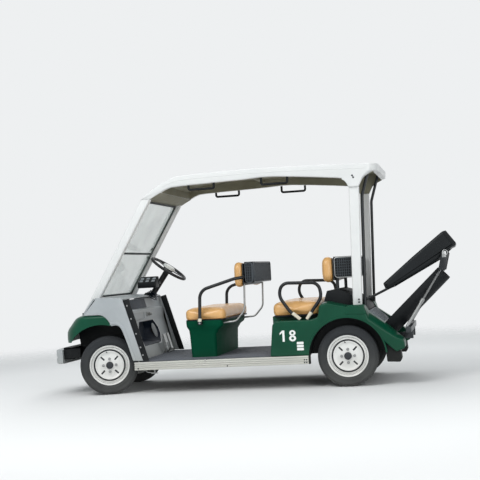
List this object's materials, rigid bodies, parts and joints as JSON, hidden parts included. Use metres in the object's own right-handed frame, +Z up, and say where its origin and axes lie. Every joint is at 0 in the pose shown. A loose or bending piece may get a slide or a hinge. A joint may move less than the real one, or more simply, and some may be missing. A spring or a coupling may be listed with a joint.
{
  "type": "golf cart",
  "caption": "Open-sided golf cart with front and rear bench seats, a roof on posts, a split windscreen, and a golf bag bay under a tilting hood at the tail.",
  "frame": {"origin": "on the ground, in the middle of the overall length and width", "axes": "+X forward, +Y to the vehicle's left, +Z up"},
  "size_m": [3.51, 1.2412, 1.842],
  "materials": {
    "green_gloss": "glossy moulded body colour",
    "grey_gloss": "smooth moulded light grey",
    "white_gloss": "smooth moulded white",
    "black_plastic": "textured black",
    "steering_rubber": "soft black grip",
    "mat_rubber": "ribbed dark rubber",
    "tan_vinyl": "soft vinyl cover",
    "black_paint": "satin black",
    "deck_grey": "satin grey",
    "sill_aluminium": "brushed extrusion",
    "screen_glass": "clear",
    "power_grey": "cast and painted",
    "rim_paint": "silver enamel",
    "tyre_rubber": "dusty dark rubber"
  },
  "bodies": {
    "chassis": {"armrests": "black_paint", "backrests": "tan_vinyl", "bag_deck": "deck_grey", "bag_rack": "black_paint", "bag_troughs": "black_plastic", "bulkhead": "grey_gloss", "bumper_beam": "black_plastic", "chassis_frame": "black_paint", "control_pod": "black_plastic", "cowl": "grey_gloss", "cowl_edge_strips": "black_plastic", "floor_deck": "deck_grey", "floor_mat": "mat_rubber", "front_axle": "black_paint", "front_bumper": "grey_gloss", "front_seat_base": "green_gloss", "grab_handles": "black_plastic", "hood_pivots": "black_paint", "leaf_springs": "black_paint", "leg_pocket": "black_plastic", "nose_panel": "green_gloss", "pedals": "black_plastic", "power_unit": "power_grey", "rack_head_blocks": "sill_aluminium", "rack_stays": "black_paint", "rear_axle": "black_paint", "rear_fenders": "green_gloss", "rear_seat_box": "green_gloss", "rear_shroud": "black_plastic", "rear_valance": "black_plastic", "roof": "white_gloss", "roof_posts": "white_gloss", "roof_stays": "black_paint", "seat_baskets": "black_plastic", "seat_cushions": "tan_vinyl", "seat_frames": "black_paint", "sills": "sill_aluminium", "steering_column": "black_plastic", "windscreen_panes": "screen_glass", "windscreen_seals": "mat_rubber"},
    "hood": {"bag_hood": "black_plastic", "hood_arms": "black_paint"},
    "steering_wheel": {"steering_wheel": "steering_rubber"},
    "tie_rod": {"tie_rod": "black_paint"},
    "knuckle_left": {"knuckle_left": "black_paint"},
    "knuckle_right": {"knuckle_right": "black_paint"},
    "wheel_front_left": {"tyre_front_left": "tyre_rubber", "rim_front_left": "rim_paint"},
    "wheel_front_right": {"tyre_front_right": "tyre_rubber", "rim_front_right": "rim_paint"},
    "wheel_rear_left": {"tyre_rear_left": "tyre_rubber", "rim_rear_left": "rim_paint"},
    "wheel_rear_right": {"tyre_rear_right": "tyre_rubber", "rim_rear_right": "rim_paint"}
  },
  "joints": [
    {"name": "steer_left", "type": "hinge", "parent": "chassis", "child": "knuckle_left", "pos_m": [1.255, 0.4, 0.25], "axis": [0, 0, 1], "range_deg": [-50, 12]},
    {"name": "steer_right", "type": "hinge", "parent": "chassis", "child": "knuckle_right", "pos_m": [1.255, -0.4, 0.25], "axis": [0, 0, 1], "range_deg": [-50.01, 12.01]},
    {"name": "tie_rod_slide", "type": "slide", "parent": "chassis", "child": "tie_rod", "axis": [0, 1, 0], "range_m": [-0.0226, 0.09257]},
    {"name": "steering_wheel_turn", "type": "hinge", "parent": "chassis", "child": "steering_wheel", "pos_m": [0.874, -0.3, 1.051], "axis": [-0.5878, 0, 0.809], "range_deg": [-700.1, 168.1]},
    {"name": "spin_front_left", "type": "hinge", "parent": "knuckle_left", "child": "wheel_front_left", "pos_m": [1.22733, 0.48037, 0.25], "axis": [-0.3256, 0.9455, 0], "continuous": true},
    {"name": "spin_front_right", "type": "hinge", "parent": "knuckle_right", "child": "wheel_front_right", "pos_m": [1.28267, -0.48037, 0.25], "axis": [-0.3256, 0.9455, 0], "continuous": true},
    {"name": "spin_rear_left", "type": "hinge", "parent": "chassis", "child": "wheel_rear_left", "pos_m": [-0.835, 0.485, 0.25], "axis": [0, 1, 0], "continuous": true},
    {"name": "spin_rear_right", "type": "hinge", "parent": "chassis", "child": "wheel_rear_right", "pos_m": [-0.835, -0.485, 0.25], "axis": [0, 1, 0], "continuous": true},
    {"name": "hood_tilt", "type": "hinge", "parent": "chassis", "child": "hood", "pos_m": [-0.965, 0, 0.684], "axis": [0, 1, 0], "range_deg": [0, 45]}
  ],
  "couplings": [
    {"joint": "steer_right", "follows": "steer_left", "ratio": 1},
    {"joint": "tie_rod_slide", "follows": "steer_left", "m_per_rad": -0.1055},
    {"joint": "steering_wheel_turn", "follows": "steer_left", "ratio": 14}
  ]
}
